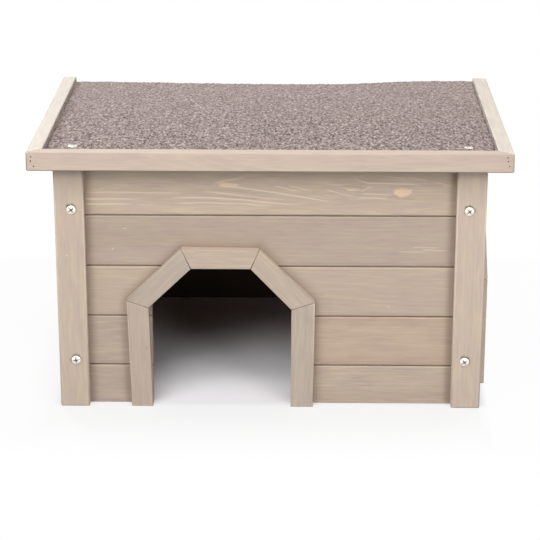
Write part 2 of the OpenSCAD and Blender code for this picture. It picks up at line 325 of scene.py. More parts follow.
@nodeGroup
def grainStroke(vector, start=-0.1, end=0.1, level=0.0, fall=0.0, bendStart=-0.1, bendEnd=0.1, thick=0.001):
    x, y, _ = parts(vector)
    sag = ramp(x, bendStart, bendEnd, 0.0, fall)
    centre = scaled(sway(vector, stroke["waver"]), stroke["strays"], minus(level, sag))
    ragged = scaled(stretched(vector, stroke["ragged"]), *stroke["thins"])
    away = over(calc("ABSOLUTE", minus(y, centre)), times(thick, ragged))
    run = over(minus(x, start), minus(end, start))
    taper = times(ramp(run, *stroke["begins"]), ramp(run, *stroke["ends"]))
    return dict(mask=times(ramp(away, *stroke["core"]), taper))


# edges: a ragged pale band of wear along the upper one, painted shade along the lower one, where the joint
# below shades it
edgeWear = dict(ragged=(90, 500, 500), gathers=(-0.0026, -0.0004))


@nodeGroup
def rubbedEdge(vector, half=0.02, band=0.0015):
    y = parts(vector)[1]
    ragged = times(sway(vector, edgeWear["ragged"]), band)
    return dict(rub=ramp(plus(y, ragged), minus(half, band), half),
                # painted shade: darker along the lower edge of the face, just above the joint
                crease=ramp(minus(times(y, -1.0), half), *edgeWear["gathers"]))


# corners: painted shade along the inner edges of the two posts that the boards run behind, where the posts
# shade the boards
@nodeGroup
def cornerStain(vector, edge=0.194, reach=0.0125):
    return dict(stain=ramp(calc("ABSOLUTE", parts(vector)[0]), minus(edge, reach), edge))


# doorway: painted shade on the boards along the outer edges of the strips, least beside the jambs
jambStain = (0.1, 0.135, 0.52, 1.0)


@nodeGroup
def frameStain(vector, middle=-0.052, half=0.098, top=0.1788, slant=0.1549, reach=0.015):
    x, _, z = parts(vector)
    side = calc("ABSOLUTE", minus(x, middle))
    slope = scaled(plus(side, z), 1 / sqrt(2), times(slant, -1.0))
    away = most(minus(side, half), minus(z, top))
    away = most(most(away, slope), 0.0)
    near = most(minus(1.0, over(away, reach)), 0.0)
    return dict(stain=times(times(near, near), ramp(z, *jambStain)))


# small dents: a few pale specks where the glaze is chipped
speckSize = (0.035, 0.07, 1.0, 0.0)


@nodeGroup
def chippedSpecks(vector, spacing=40.0, amount=0.5):
    spread = put("VectorMath", {0: vector, "Scale": spacing}, operation="SCALE").outputs[0]
    cell = put("TexVoronoi", {"Vector": spread, "Scale": 1.0}).outputs
    chipped = calc("GREATER_THAN", amount, parts(cell["Color"])[0])
    return dict(speck=times(ramp(cell["Distance"], *speckSize), chipped))


# glaze over pine: thin on the hard late wood, pink or yellow by patches, pale where it is rubbed
glazing = dict(patchMix=(0.4, 0.6), patchAt=(0.36, 0.64), pink=(1.012, 0.985, 1.0, 1),
               straw=(1.0, 1.008, 0.94, 1), crease=0.5, creaseTone=(124, 108, 94), rub=0.22, speck=0.45,
               paleTone=(236, 222, 204), end=0.55, endTone=(150, 128, 106), rough=(0.2, 0.5), fineHigh=0.6,
               lineHigh=0.5, speckDeep=1.2, streakHigh=0.5)


@nodeGroup
def pineGlaze(tone=(0.5, 0.4, 0.3, 1.0), late=(0.7, 0.6, 0.4, 1.0), mottle=1.0, fine=0.5, streak=0.5,
              patch=0.5, fineShow=0.3, streakShow=0.4, patchShow=0.25, lines=0.0, rub=0.0, crease=0.0,
              speck=0.0, end=0.0):
    byStreak, byPatch = glazing["patchMix"]
    pink = blend(1.0, tone, glazing["pink"], "MULTIPLY")
    straw = blend(1.0, tone, glazing["straw"], "MULTIPLY")
    patches = ramp(scaled(streak, byStreak, times(patch, byPatch)), *glazing["patchAt"])
    colour = blend(mottle, tone, blend(patches, pink, straw))
    light = 1.0
    for kind, show in ((fine, fineShow), (streak, streakShow), (patch, patchShow)):
        light = scaled(minus(kind, 0.5), show, light)
    grey = put("CombineXYZ", {axis: light for axis in range(3)}).outputs[0]
    colour = blend(lines, blend(1.0, colour, grey, "MULTIPLY"), late)
    pale = most(times(rub, glazing["rub"]), times(speck, glazing["speck"]))
    # painted shade: crease darkens the colour towards creaseTone, along lower board edges, beside the posts
    # and round the doorway strips
    for share, cover in ((times(crease, glazing["crease"]), "creaseTone"), (pale, "paleTone"),
                         (times(end, glazing["end"]), "endTone")):
        colour = blend(share, colour, shade(*glazing[cover]))
    relief = scaled(fine, glazing["fineHigh"], times(lines, glazing["lineHigh"]))
    relief = minus(relief, times(speck, glazing["speckDeep"]))
    return dict(colour=colour, rough=scaled(fine, *glazing["rough"]),
                height=scaled(streak, glazing["streakHigh"], relief))


strokeTones = dict(straw=(234, 215, 184), peach=(234, 208, 189), pale=(234, 216, 198), umber=(146, 126, 108))
pine = dict(tone=(182, 165, 150), late=(220, 203, 172), lineShow=0.22, gap=0.0055, across=0.03, depth=-0.04,
            rise=0.0, riseFrom=-0.1, riseTo=0.1, wander=0.006, mottle=1.0, rub=0.0013, crease=0.0,
            specks=0.12, knots=(), strokes=(), strokeWide=1.35, corner=0.0, strip=0.0, fine=0.4, streak=0.2,
            patch=0.22, bump=0.25, relief=0.0004, gloss=0.5, endGrain=(0.75, 0.95))
unbent = (0, (-100, 100))  # a stroke that doesn't fall


def finishMaterial(height, bump, relief, sockets):
    bumped = put("Bump", {"Height": height, "Strength": bump, "Distance": relief}).outputs[0]
    shader = put("BsdfPrincipled", {**sockets, "Normal": bumped}).outputs[0]
    put("OutputMaterial", {"Surface": shader})


def glazedPine(piece, centre, grain, face, halfWidth, **look):
    # centre, grain and face turn the pattern to the piece: along, across and out of the board
    chosen = {**pine, **look}
    grain = Vector(grain).normalized()
    face = Vector(face).normalized()
    turned = Matrix((grain, face.cross(grain), face)).transposed().to_euler()
    material, tree = newMaterial(piece.name + "Glaze")
    spot = put("TexCoord", tree=tree).outputs
    vector = put("Mapping", {"Vector": spot["Object"], "Location": centre, "Rotation": turned},
                 vector_type="TEXTURE").outputs[0]
    ringKeys = ("across", "depth", "gap", "rise", "riseFrom", "riseTo", "wander", "lineShow")
    lines = useGroup(growthRings, vector=vector, **{key: chosen[key] for key in ringKeys})["lines"]
    seed = random.Random(piece.name).uniform(*fibres["seeds"])
    fibre = useGroup(woodFibre, vector=vector, seed=seed)
    edge = useGroup(rubbedEdge, vector=vector, half=halfWidth, band=chosen["rub"])
    speck = useGroup(chippedSpecks, vector=vector, amount=chosen["specks"])["speck"]
    # painted shade beside the posts and round the doorway strips, joined with the lower-edge shade
    corner = useGroup(cornerStain, vector=spot["Object"])["stain"]
    strip = useGroup(frameStain, vector=spot["Object"])["stain"]
    crease = most(times(edge["crease"], chosen["crease"]), times(corner, chosen["corner"]))
    crease = most(crease, times(strip, chosen["strip"]))
    facing = put("VectorMath", {0: spot["Normal"], 1: grain}, operation="DOT_PRODUCT").outputs["Value"]
    kinds = ("fine", "streak", "patch")
    glaze = useGroup(
        pineGlaze, tone=shade(*chosen["tone"]), late=shade(*chosen["late"]), mottle=chosen["mottle"],
        **{kind: fibre[kind] for kind in kinds}, **{kind + "Show": chosen[kind] for kind in kinds},
        lines=lines, rub=edge["rub"], crease=crease, speck=speck,
        end=ramp(calc("ABSOLUTE", facing), *chosen["endGrain"]))
    colour = glaze["colour"]
    for tone, show, span, level, thick, *slope in chosen["strokes"]:
        fall, bend = slope or unbent
        mask = useGroup(grainStroke, vector=vector, start=span[0] * mm, end=span[1] * mm, level=level * mm,
                        fall=fall * mm, bendStart=bend[0] * mm, bendEnd=bend[1] * mm,
                        thick=chosen["strokeWide"] * thick * mm)["mask"]
        colour = blend(times(mask, show), colour, shade(*strokeTones[tone]))
    for show, along, across, size, tones in chosen["knots"]:
        grown = useGroup(branchKnot, vector=vector, along=along * mm, across=across * mm, long=size[0] * mm,
                         high=size[1] * mm)
        wood = blend(grown["lean"], shade(*tones[0]), shade(*tones[1]))
        colour = blend(times(grown["core"], show), colour, wood)
    finishMaterial(glaze["height"], chosen["bump"], chosen["relief"], {
        "Base Color": colour, "Roughness": glaze["rough"], "Specular IOR Level": chosen["gloss"]})
    piece.data.materials.append(material)


print("material groups built")

# where the screws go: from the middle, from the ground, below the wall top, and along the roof
screwAt = dict(x=0.20725, low=0.054, drop=0.0475, roofFront=0.035, roofBack=0.309)

# corner posts, planed and rounded over, with painted shade round the screw heads
posts = dict(
    round=0.0016, foot=0.0014, crushed=dict(show=0.9, lift=1.1, half=6.5, tone=(92, 82, 68)),
    looks=dict(
        front_post_left=dict(
            tone=(194, 177, 162), streak=0.18, fine=0.3, lineShow=0.25, gap=0.007, across=0.02, depth=-0.02,
            knots=((0.6, 37.4, 3.9, (1.2, 1.2), ((228, 212, 194), (220, 204, 186))),)),
        front_post_right=dict(
            tone=(198, 181, 166), streak=0.18, fine=0.3, lineShow=0.22, gap=0.008, across=-0.024,
            depth=-0.03),
        back_post_left=dict(tone=(192, 174, 158)),
        back_post_right=dict(tone=(195, 177, 161))))


def upright(node, width, steps):
    # taller than it has to be, then sawn to the fall of the roof
    low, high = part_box(node)
    bm = bar(low, high + Vector((0, 0, house["spare"])))
    roundOver(bm, edgesAlong(bm, 2), width, steps)
    return bm, low, high


# painted shade: a dark ring round each screw head, its middle lifted so the ring shows most above the head
def crushedRings(middle, inFront):
    ring = posts["crushed"]
    side = 1 if (middle.x < 0) == inFront else -1
    across = (screwAt["x"] - abs(middle.x)) * side / mm
    wallTop = house["wallTop"] if inFront else backTop
    return tuple((ring["show"], (height - middle.z) / mm + ring["lift"], across, (ring["half"],) * 2,
                  (ring["tone"],) * 2) for height in (screwAt["low"], wallTop - screwAt["drop"]))


def makePost(node, look):
    bm, low, high = upright(node, posts["round"], 4)
    roundOver(bm, [e for e in bm.edges if all(v.co.z < hair for v in e.verts)], posts["foot"], 2)
    sawOff(bm, roofFrame.translation, roofUp)
    inFront = node.startswith("front")
    middle = (low + high) / 2
    knots = look.get("knots", ()) + crushedRings(middle, inFront)
    glazedPine(putPiece(bm, node, "posts"), middle, (0, 0, 1), (0, -1 if inFront else 1, 0),
               (high.x - low.x) / 2, **{**look, "knots": knots})


for node, look in posts["looks"].items():
    makePost(node, look)

# upright cleats inside the corners
cleats = dict(round=0.0009, tone=(186, 168, 150))
for side, inward in (("left", 1), ("right", -1)):
    for end in ("front", "back"):
        node = side + "_cleat_" + end
        bm, low, high = upright(node, cleats["round"], 2)
        sawOff(bm, roofFrame.translation, roofUp)
        glazedPine(putPiece(bm, node, "cleats"), (low + high) / 2, (0, 0, 1), (inward, 0, 0),
                   (high.y - low.y) / 2, tone=cleats["tone"])
print("posts and cleats built")

# wall boards with tongue and groove; the section runs from the outer face inwards
boards = dict(ease=0.0008, under=0.0015, foot=0.0005, soft=0.0003, tongue=0.004, tongueHigh=0.005,
              slack=0.0003, shrink=0.0002, settle=0.0008, raised=0.0001, cuts=24, sway=0.00016,
              # gathered, corner and strip: strengths of the painted shade along each row's lower edge, beside
              # the posts and round the doorway strips
              swayScale=(7, 3.1, 15), sharp=0.5, flat=0.99, gathered=(0.6, 0.3, 0.3, 0.3, 0.2),
              corner=0.95, strip=1.45, lighter=(-4, 4), across=(0.02, 0.07), depth=(0.01, 0.06),
              gap=(0.004, 0.008), rise=(-0.02, 0.02), riseHalf=0.2)
door = dict(width=0.151, head=0.1581, shoulder=0.0445, frontAt=-0.052, sideAt=-0.006, strip=0.023,
            thick=0.010, ease=0.0007, mitre=0.0005, open=0.00024, bare=0.0016, straight=0.96,
            look=dict(tone=(206, 189, 173), fine=0.34, streak=0.14, mottle=0.5))
# how far the corners of the front strips sit off true, in mm, from the left foot round to the right foot
offTrue = dict(inner=((1.6, 0), (-1.6, 0), (-0.5, 0), (0.5, 0), (-0.8, -1.6), (-1.3, 0)),
               outer=((1.8, 0), (-1.3, -1.6), (-1.0, -1.6), (0, -2.4), (1.0, -2.8), (-0.5, 0)))

# the flame of the top board. strokes: tone, strength, then in mm from the board's middle span, level and
# thickness, and for a stroke that falls, by how much and between which places.
# knots: strength, mm along, mm across, half sizes in mm, tones from left to right
flame = dict(tone=(196, 178, 161), lineShow=0.1, gap=0.0068, across=0.03, depth=-0.03, streak=0.2, strokes=(
    ("peach", 0.6, (-197, -84), -3.0, 1.1, 0.6, (-160, -120)),
    ("straw", 0.65, (-197, -134), -10.5, 1.1),
    ("pale", 0.65, (-114, 46), -8.9, 1.0, 7.4, (-60, 38)),
    ("straw", 0.65, (-197, -134), -16.3, 1.0),
    ("pale", 0.35, (-141, -115), -17.0, 0.8),
    ("pale", 0.25, (-106, -74), -21.0, 0.8, -1.5, (-104, -78)),
    ("pale", 0.55, (-105, 16), -14.5, 0.9, 2.8, (-45, 10)),
    ("peach", 0.65, (-76, 28), -2.0, 1.0, 8.8, (-75, 24)),
    ("pale", 0.7, (-66, 80), 4.8, 1.0, 21.5, (-66, 112)),
    ("straw", 0.5, (-60, -22), 7.6, 1.5, -5.8, (-60, -26)),
    ("pale", 0.55, (2, 34), 4.6, 0.8, 5.6, (2, 32)),
    ("pale", 0.4, (18, 48), 5.0, 0.8, 5.6, (18, 44)),
    ("pale", 0.3, (38, 68), -6.2, 0.8, 3, (40, 62)),
    ("pale", 0.3, (54, 76), -5.8, 0.7, 1.4, (56, 70)),
    ("pale", 0.35, (55, 80), 7.0, 0.8, 1.2, (58, 74)),
    ("pale", 0.5, (56, 92), -0.4, 0.9, 5.8, (58, 86)),
    ("straw", 0.45, (74, 100), 3.4, 0.8, 3.0, (74, 86)),
    ("pale", 0.6, (94, 108), -1.2, 0.8, -4.6, (94, 104)),
    ("pale", 0.55, (85, 110), 12.6, 0.8, 5.0, (86, 104)),
    ("pale", 0.65, (98, 162), 7.6, 0.8, 2.4, (142, 160)),
    ("pale", 0.55, (90, 126), -8.3, 0.9, 0.5, (95, 120)),
    ("pale", 0.6, (92, 132), -4.0, 0.9, 0.5, (95, 125)),
    ("pale", 0.45, (118, 144), 15.0, 0.7, 1.0, (122, 140)),
    ("pale", 0.45, (141, 165), 14.2, 0.7, 2.4, (144, 162)),
    ("pale", 0.35, (170, 191), 8.6, 0.8, 3.0, (174, 188)),
    ("umber", 0.22, (122, 154), 4.2, 1.0),
    ("umber", 0.22, (122, 154), -6.6, 1.0, 2.6, (126, 148)),
    ("umber", 0.22, (96, 142), 11.4, 1.0, 1, (100, 140)),
    ("umber", 0.3, (70, 102), 4.4, 1.1, 2, (86, 100)),
    ("umber", 0.18, (-62, 0), 0.2, 1.0, 3.4, (-58, -2)),
    ("umber", 0.18, (-80, 0), -6.4, 1.0, 3, (-74, -6))), knots=(
        (0.75, -44, 5.4, (12, 2.6), ((240, 210, 174), (236, 206, 180))),
        (0.9, 138, -2.2, (10.5, 5.6), ((238, 214, 176), (238, 204, 176))),
        (0.7, 86, 0.6, (6.5, 1.4), ((230, 212, 180), (222, 204, 180)))))
# inner faces of the boards: painted shade, a very dark glaze standing for the shade inside the house
insideLook = dict(tone=(68, 53, 44), late=(74, 62, 52), lineShow=0.4, mottle=1.2, gloss=0.15)
boardLooks = dict(
    front_board_1=flame,
    front_board_2=dict(
        tone=(178, 161, 148), across=-0.05, depth=-0.02, lineShow=0.12, specks=0.1, fine=0.32,
        streak=0.14, strokes=(
            ("pale", 0.35, (148, 180), -8.6, 0.8),
            ("pale", 0.45, (158, 190), -11.4, 0.8, 0.8, (160, 180)),
            ("pale", 0.3, (132, 168), -13.8, 0.8),
            ("umber", 0.17, (-250, 60), 2, 17)), knots=(
            (0.5, -153.5, 12.7, (3.4, 1.2), ((140, 122, 106), (164, 146, 130))),
            (0.6, -153, 11, (3, 1.2), ((214, 198, 182), (206, 190, 174))),
            (0.6, -166, -12.2, (1.2, 1.4), ((220, 202, 182), (212, 196, 178))))),
    front_board_3_left=dict(tone=(185, 168, 152), streak=0.18),
    front_board_3_right=dict(tone=(185, 167, 153), streak=0.08, fine=0.28, patch=0.2, knots=(
        (0.6, 23.6, -19.4, (1.2, 1.2), ((222, 206, 188), (214, 198, 180))),)),
    front_board_4_left=dict(tone=(178, 162, 148), streak=0.18),
    front_board_4_right=dict(tone=(187, 166, 150), mottle=2.4, patch=0.34, streak=0.08, fine=0.3, strokes=(
        ("umber", 0.16, (-200, 240), 21, 6),
        ("umber", 0.16, (-200, 240), -25, 7))),
    front_board_5_left=dict(tone=(178, 161, 148), streak=0.18),
    front_board_5_right=dict(
        tone=(185, 168, 153), lineShow=0.3, gap=0.004, streak=0.3, fine=0.55, patch=0.2, strokes=(
            ("umber", 0.2, (-200, 240), -16, 11),)))


def boardSection(bottom, top, tongued, grooved):
    ease = boards["ease"]
    thick = house["board"]
    reach = boards["tongueHigh"]
    half = boards["tongue"] / 2
    wide = half + boards["slack"]
    middle = thick / 2
    under = boards["under"] if grooved else boards["foot"]
    bottom += boards["shrink"] if grooved else 0
    faceTop = top - (ease if tongued else 0)
    faceLow = bottom + under
    outline = [(under, bottom)]
    outline += [(0, faceLow + (faceTop - faceLow) * share) for share in (0, 0.25, 0.5, 0.75, 1)]
    if tongued:
        outline += [(ease, top), (middle - half, top), (middle - half, top + reach),
                    (middle + half, top + reach), (middle + half, top)]
    outline += [(thick, top), (thick, bottom)]
    if grooved:
        outline += [(middle + wide, bottom), (middle + wide, bottom + reach), (middle - wide, bottom + reach),
                    (middle - wide, bottom)]
    return outline


def makeBoard(node, wall, row, start, end):
    low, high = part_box(node)
    tongued = row > 1
    top = high.z - boards["tongueHigh"] if tongued else high.z + house["spare"]
    # every joint but the floor line sits a little low, as the boards have settled
    seat = low.z - (boards["settle"] if row < 5 else 0)
    if row == 5 and (wall == "back" or node == "front_board_5_left"):
        seat = boards["raised"]
    cap = top - (boards["settle"] if tongued else 0)
    outline = [(start, y, z) for y, z in boardSection(seat, cap, tongued, row < 5)]
    bm = outlineBlock(outline, (end - start, 0, 0))
    outside = [e for e in edgesAlong(bm, 0) if e.verts[0].co.y < boards["under"] + hair]
    roundOver(bm, [e for e in outside if e.calc_face_angle(0) > boards["sharp"]], boards["soft"], 2)
    bmesh.ops.subdivide_edges(bm, edges=edgesAlong(bm, 0), cuts=boards["cuts"])
    for vert in bm.verts:
        spot = Vector((vert.co.x, row, vert.co.z)) * Vector(boards["swayScale"])
        vert.co.y += boards["sway"] * (1 + noise.noise(spot)) * max(0, 1 - vert.co.y / house["board"])
    move(bm, walls[wall])
    if row == 1:
        sawOff(bm, roofFrame.translation, roofUp)
    piece = putPiece(bm, node, "wall_boards")
    turn = walls[wall].to_3x3()
    inward = turn @ Vector((0, 1, 0))
    for face in piece.data.polygons:
        face.material_index = int(face.normal.dot(inward) > boards["flat"])
    dice = random.Random(node)
    lighter = dice.randint(*boards["lighter"])
    look = dict(across=dice.choice((-1, 1)) * dice.uniform(*boards["across"]),
                depth=-dice.uniform(*boards["depth"]), gap=dice.uniform(*boards["gap"]),
                rise=dice.uniform(*boards["rise"]), riseFrom=-boards["riseHalf"], riseTo=boards["riseHalf"],
                crease=boards["gathered"][row - 1], tone=tuple(c + lighter for c in pine["tone"]),
                corner=boards["corner"] if wall in ("front", "back") else 0,
                strip=boards["strip"] if wall == "front" else 0)
    look.update(boardLooks.get(node, {}))
    middle = (low + high) / 2
    grain = turn @ Vector((1, 0, 0))
    glazedPine(piece, middle, grain, -inward, ((top if tongued else high.z) - low.z) / 2, **look)
    glazedPine(piece, middle, grain, inward, house["half"], **insideLook)
    return piece


def doorLine(middle):
    left = middle - door["width"] / 2
    right = middle + door["width"] / 2
    knee = door["head"] - door["shoulder"]
    return [(left, 0), (left, knee), (left + door["shoulder"], door["head"]),
            (right - door["shoulder"], door["head"]), (right, knee), (right, 0)]


def frameLine(middle):
    out = door["strip"]
    lean = out * tan(radians(45) / 2)  # the shoulders slant by 45 degrees
    (left, _), (_, knee), (headLeft, head), (headRight, _), _, (right, _) = doorLine(middle)
    return [(left - out, 0), (left - out, knee + lean), (headLeft - lean, head + out),
            (headRight + lean, head + out), (right + out, knee + lean), (right + out, 0)]


def doorwayTool(wall, middle, bare):
    foot, knee, *rest = doorLine(middle)
    cut = [(foot[0] + bare, foot[1]), (knee[0] + bare, knee[1] + bare), *rest]
    bm = outlineBlock([(x, -house["spare"], z) for x, z in cut], (0, 3 * house["spare"], 0))
    move(bm, walls[wall])
    return bm


bodyWide = house["half"] * 2
sideLong = house["back"] - house["front"] - 2 * wallIn
frontMiddle = house["half"] + door["frontAt"]
sideMiddle = sideLong / 2 + door["sideAt"]
for row in range(1, 6):
    makeBoard(f"back_board_{row}", "back", row, 0, bodyWide)
    makeBoard(f"left_board_{row}", "left", row, 0, sideLong)
    if row < 3:
        makeBoard(f"front_board_{row}", "front", row, 0, bodyWide)
        makeBoard(f"right_board_{row}", "right", row, 0, sideLong)
        continue
    slant = door["shoulder"] if row == 3 else 0
    near = door["width"] / 2 - slant
    for wall, middle, long, names, bare in (("front", frontMiddle, bodyWide, ("left", "right"), door["bare"]),
                                            ("right", sideMiddle, sideLong, ("front", "back"), 0)):
        pair = (makeBoard(f"{wall}_board_{row}_{names[0]}", wall, row, 0, middle - near + bare),
                makeBoard(f"{wall}_board_{row}_{names[1]}", wall, row, middle + near, long))
        if slant:
            for piece in pair:
                carve(piece, doorwayTool(wall, middle, bare))
print("wall boards built")

# mitred strips round the doorways
frameLooks = dict(
    front_door_jamb_left=dict(tone=(185, 168, 154), knots=(
        (0.5, 6.5, -7.4, (3.4, 1.6), ((150, 132, 116), (176, 158, 142))),)),
    front_door_shoulder_left=dict(tone=(183, 168, 154)),
    front_door_lintel=dict(tone=(189, 171, 155), lineShow=0.35, fine=0.5),
    front_door_shoulder_right=dict(tone=(189, 172, 156)),
    front_door_jamb_right=dict(tone=(184, 169, 155), fine=0.45))


def nudged(corners, offsets):
    return [(x + dx * mm, z + dz * mm) for (x, z), (dx, dz) in zip(corners, offsets)]


def makeFrame(wall, nodes, inner, outer):
    turn = walls[wall].to_3x3()
    for i, node in enumerate(nodes):
        corners = [Vector((x, 0, z)) for x, z in (inner[i], inner[i + 1], outer[i + 1], outer[i])]
        along = (corners[1] - corners[0]).normalized()
        bm = outlineBlock(corners, (0, -door["thick"], 0))
        for first, second, way in ((corners[0], corners[3], -along), (corners[1], corners[2], along)):
            if second.z > 0:
                cut = (second - first).cross((0, 1, 0)).normalized()
                cut *= 1 if cut.dot(way) > 0 else -1
                sawOff(bm, first - cut * door["open"], cut)
        front = [e for e in bm.edges if all(v.co.y < -door["thick"] / 2 for v in e.verts)]
        mitres = [e for e in front if abs(heading(e).dot(along)) < door["straight"]]
        roundOver(bm, mitres, door["mitre"], 1)
        front = [e for e in bm.edges if all(v.co.y < -door["thick"] + hair for v in e.verts)]
        longEdges = [e for e in front if abs(heading(e).dot(along)) > door["straight"]]
        roundOver(bm, longEdges, door["ease"], 2)
        move(bm, walls[wall])
        low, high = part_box(node)
        look = {**door["look"], **frameLooks.get(node, {})}
        glazedPine(putPiece(bm, node, "doorway_frames"), (low + high) / 2, turn @ along,
                   turn @ Vector((0, -1, 0)), door["strip"] / 2, **look)


makeFrame("front", list(frameLooks), nudged(doorLine(frontMiddle), offTrue["inner"]),
          nudged(frameLine(frontMiddle), offTrue["outer"]))
sideStrips = ("jamb_front", "shoulder_front", "lintel", "shoulder_back", "jamb_back")
makeFrame("right", ["side_door_" + strip for strip in sideStrips], doorLine(sideMiddle),
          frameLine(sideMiddle))
print("doorway frames built")

# granules on bitumen, paler towards the back of the roof
granules = dict(scale=620.0, clump=((335, 158, 335), 2.0, 0.65), drift=((9, 9, 9), 2.0), byClump=0.9,
                byGrain=0.35, toTone=(0.36, 0.62), toPale=(0.62, 0.95), drifts=(0.3, 0.7),
                cool=(0.99, 0.985, 1.0, 1), warm=(1.01, 1.0, 0.975, 1), fadeFrom=-0.12, fadeTo=0.19,
                clumpHigh=0.8, bump=0.6, relief=0.0006, rough=(0.25, 0.7), gloss=0.25)


def mineralFelt(piece, look):
    material, tree = newMaterial(piece.name + "Granules")
    spot = put("TexCoord", tree=tree).outputs["Object"]
    granule = put("TexVoronoi", {"Vector": spot, "Scale": granules["scale"]}).outputs
    pick = parts(granule["Color"])
    clump = stretched(spot, *granules["clump"])
    value = scaled(clump, granules["byClump"], times(pick[0], granules["byGrain"]))
    colour = blend(ramp(value, *granules["toTone"]), shade(*look["dark"]), shade(*look["tone"]))
    colour = blend(ramp(value, *granules["toPale"]), colour, shade(*look["pale"]))
    drift = ramp(stretched(spot, *granules["drift"]), *granules["drifts"])
    colour = blend(1.0, colour, blend(drift, granules["cool"], granules["warm"]), "MULTIPLY")
    faded = ramp(parts(spot)[1], granules["fadeFrom"], granules["fadeTo"], 0.0, look["fade"])
    colour = blend(faded, colour, shade(*look["dust"]))
    height = minus(times(clump, granules["clumpHigh"]), granule["Distance"])
    finishMaterial(height, granules["bump"], granules["relief"], {
        "Base Color": colour, "Roughness": scaled(pick[1], *granules["rough"]),
        "Specular IOR Level": granules["gloss"]})
    piece.data.materials.append(material)


# roof edging, mitred at the front corners, with the set heads of its brads
edging = dict(
    round=0.0012, mitre=0.0007, open=0.0004, hole=0.0009, holeSides=12, narrow=0.8, sink=0.0022,
    spare=0.0012, flat=0.97,
    leftEnd=((0.0055, 0.005), (0.005, 0.0095), (0.008, 0.015)),
    rightEnd=((0.007, 0.004), (0.0065, 0.008), (0.005, 0.013)), sideShares=(0.15, 0.5, 0.85),
    front=dict(tone=(195, 178, 165), streak=0.1, patch=0.2, fine=0.26, mottle=0.6, lineShow=0.34, rise=0.03,
               riseFrom=-0.17, riseTo=0.03, gloss=0.15),
    # sides: paler and greyer than the front strip, painted light for the brighter light on their tops
    sides=dict(tone=(208, 199, 189), streak=0.2, mottle=0.5, gloss=0.15),
    # inside: felt granules paler than the roof felt on the strips' inner faces, painted light against the
    # shade those faces sit in
    inside=dict(tone=(172, 158, 152), pale=(220, 206, 199), dark=(70, 58, 54), dust=(180, 164, 157),
                fade=0.2))


def bradHole(spot, direction):
    bm = bmesh.new()
    aim = Vector(direction).to_track_quat("Z", "Y").to_matrix().to_4x4()
    bmesh.ops.create_cone(bm, cap_ends=True, segments=edging["holeSides"], radius1=edging["hole"],
                          radius2=edging["hole"] * edging["narrow"], depth=edging["sink"] * 2,
                          matrix=roofFrame @ Matrix.Translation(spot) @ aim)
    return bm


def makeEdging(node, low, high, cuts, holes, look):
    bm = bar(low, high)
    longAxis = 0 if high[0] - low[0] > high[1] - low[1] else 1
    roundOver(bm, edgesAlong(bm, longAxis), edging["round"], 4)
    for point, outward in cuts:
        point = Vector(point) - Vector(outward) * edging["open"]
        sawOff(bm, point, outward)
        sawn = [e for e in bm.edges if all(abs((v.co - point).dot(Vector(outward))) < hair for v in e.verts)]
        roundOver(bm, sawn, edging["mitre"], 1)
    move(bm, roofFrame)
    piece = putPiece(bm, node, "roof_edging")
    for spot, direction in holes:
        carve(piece, bradHole(spot, direction))
    centre = roofFrame @ ((Vector(low) + Vector(high)) / 2)
    turn = roofFrame.to_3x3()
    inside = turn @ Vector((0, 1, 0) if longAxis == 0 else (-centre.x, 0, 0)).normalized()
    for side in piece.data.polygons:
        side.material_index = int(side.normal.dot(inside) > edging["flat"])
    grain = turn @ Vector((1, 0, 0) if longAxis == 0 else (0, 1, 0))
    face = turn @ Vector((0, -1, 0) if longAxis == 0 else (0, 0, 1))
    glazedPine(piece, centre, grain, face, roof["edgingHigh"] / 2 + edging["spare"], **look)
    # the inward faces take the paler felt copy, painted light
    mineralFelt(piece, edging["inside"])


diagonal = 1 / sqrt(2)
edgeTop = roof["edgingHigh"]
edgeWide = roof["edging"]
frontHoles = [((x - roofHalf, 0, edgeTop - drop), (0, 1, 0)) for x, drop in edging["leftEnd"]]
frontHoles += [((roofHalf - x, 0, edgeTop - drop), (0, 1, 0)) for x, drop in edging["rightEnd"]]
makeEdging("front_edging", (-roofHalf, 0, 0), (roofHalf, edgeWide, edgeTop),
           [((-roofHalf, 0, 0), (-diagonal, diagonal, 0)), ((roofHalf, 0, 0), (diagonal, diagonal, 0))],
           frontHoles, edging["front"])
for side, node in ((-1, "left_edging"), (1, "right_edging")):
    x = sorted((side * roofHalf, side * (roofHalf - edgeWide)))
    holes = [((side * roofHalf, roofLong * share, roof["deck"] / 2), (-side, 0, 0))
             for share in edging["sideShares"]]
    makeEdging(node, (x[0], 0, 0), (x[1], roofLong, edgeTop),
               [((side * roofHalf, 0, 0), (-side * diagonal, -diagonal, 0))], holes, edging["sides"])

# roof deck under the felt
deck = dict(ease=0.0005, half=0.3, look=dict(tone=(160, 138, 108), late=(136, 112, 84), lineShow=0.3,
                                             gap=0.0022, across=0.0, depth=-0.02))
bm = bar((-roofHalf + edgeWide, edgeWide, 0), (roofHalf - edgeWide, roofLong, roof["deck"]))
roundOver(bm, bm.edges[:], deck["ease"], 2)
move(bm, roofFrame)
deckLow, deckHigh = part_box("roof_deck")
glazedPine(putPiece(bm, "roof_deck", "roof_deck"), (deckLow + deckHigh) / 2, (1, 0, 0), roofUp, deck["half"],
           **deck["look"])

# mineral felt: a grid of granules with a torn back edge, folded down to its thickness
# lifts: height, then where along the roof's width it starts and is full
felt = dict(columns=350, rows=262, gap=0.0004, grain=(0.0007, 620, 1.3), clump=(0.0003, 170, 6.2),
            sink=0.0004, bow=0.002, bowHalf=0.2, tear=0.0009, tears=((1, 45, 3.7), (0.6, 160, 9.1)),
            tornIn=0.8, curl=0.0003, lifts=((0.0016, 0, -0.22), (0.004, 0.06, 0.19)),
            nearEdge=dict(pull=12, curl=60, lift=10),
            look=dict(tone=(138, 124, 121), pale=(203, 189, 184), dark=(57, 47, 45), dust=(170, 154, 148),
                      fade=0.34))


def smooth(value, start, end):
    share = min(1, max(0, (value - start) / (end - start)))
    return share * share * (3 - 2 * share)


